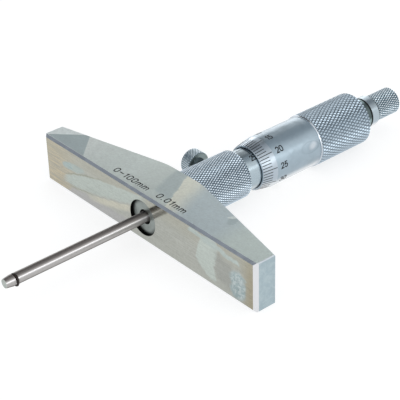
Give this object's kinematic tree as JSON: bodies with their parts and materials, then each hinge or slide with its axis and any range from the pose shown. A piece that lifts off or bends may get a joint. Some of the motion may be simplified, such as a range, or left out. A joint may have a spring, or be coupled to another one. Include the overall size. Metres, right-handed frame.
{
  "type": "depth micrometer",
  "caption": "Depth micrometer: wide ground base, exchangeable measuring rod through its middle, knurled hub with spindle lock, graduated thimble and ratchet stop.",
  "frame": {"origin": "centre of the measuring face, on the axis of the rod and the spindle", "axes": "+X along the measuring face, +Y up the spindle towards the ratchet, +Z out of the base's upper side face, so the instrument lies on its -Z side"},
  "size_m": [0.1016, 0.1614, 0.0182],
  "materials": {
    "ground_steel": "ground",
    "satin_chrome": "satin",
    "hardened_steel": "polished",
    "brass": "turned",
    "black_rubber": "matte"
  },
  "bodies": {
    "base": {"base_block": "ground_steel", "knurled_hub": "satin_chrome", "guide_sleeve": "hardened_steel", "sleeve_adjusting_nut": "hardened_steel", "graduated_sleeve": "satin_chrome"},
    "rod": {"measuring_rod": "hardened_steel", "rod_ring": "black_rubber", "rod_adjusting_nut": "hardened_steel", "rod_lock_nut": "hardened_steel"},
    "thimble": {"spindle": "hardened_steel", "thimble": "satin_chrome", "thimble_cap": "satin_chrome", "ratchet_crown": "hardened_steel", "ratchet_spring": "hardened_steel", "spring_washer": "hardened_steel", "ratchet_screw": "satin_chrome"},
    "ratchet": {"ratchet_knob": "satin_chrome"},
    "lock_pad": {"lock_pad": "brass"},
    "lock_screw": {"lock_screw": "satin_chrome"}
  },
  "joints": [
    {"name": "thimble_travel", "type": "slide", "parent": "base", "child": "rod", "axis": [0, 1, 0], "range_m": [0, 0.025]},
    {"name": "thimble_turn", "type": "hinge", "parent": "rod", "child": "thimble", "pos_m": [0, 0.06, 0], "axis": [0, 1, 0], "range_deg": [0, 18001]},
    {"name": "ratchet_turn", "type": "hinge", "parent": "thimble", "child": "ratchet", "pos_m": [0, 0.1, 0], "axis": [0, 1, 0], "continuous": true},
    {"name": "lock_travel", "type": "slide", "parent": "base", "child": "lock_pad", "axis": [1, 0, 0], "range_m": [-0.0007, 0.00035]},
    {"name": "lock_turn", "type": "hinge", "parent": "lock_pad", "child": "lock_screw", "pos_m": [-0.012, 0.0331, 0], "axis": [1, 0, 0], "range_deg": [-360.1, 180.1]}
  ],
  "couplings": [
    {"joint": "thimble_turn", "follows": "thimble_travel", "rad_per_m": 12566},
    {"joint": "lock_turn", "follows": "lock_travel", "rad_per_m": 8976}
  ]
}
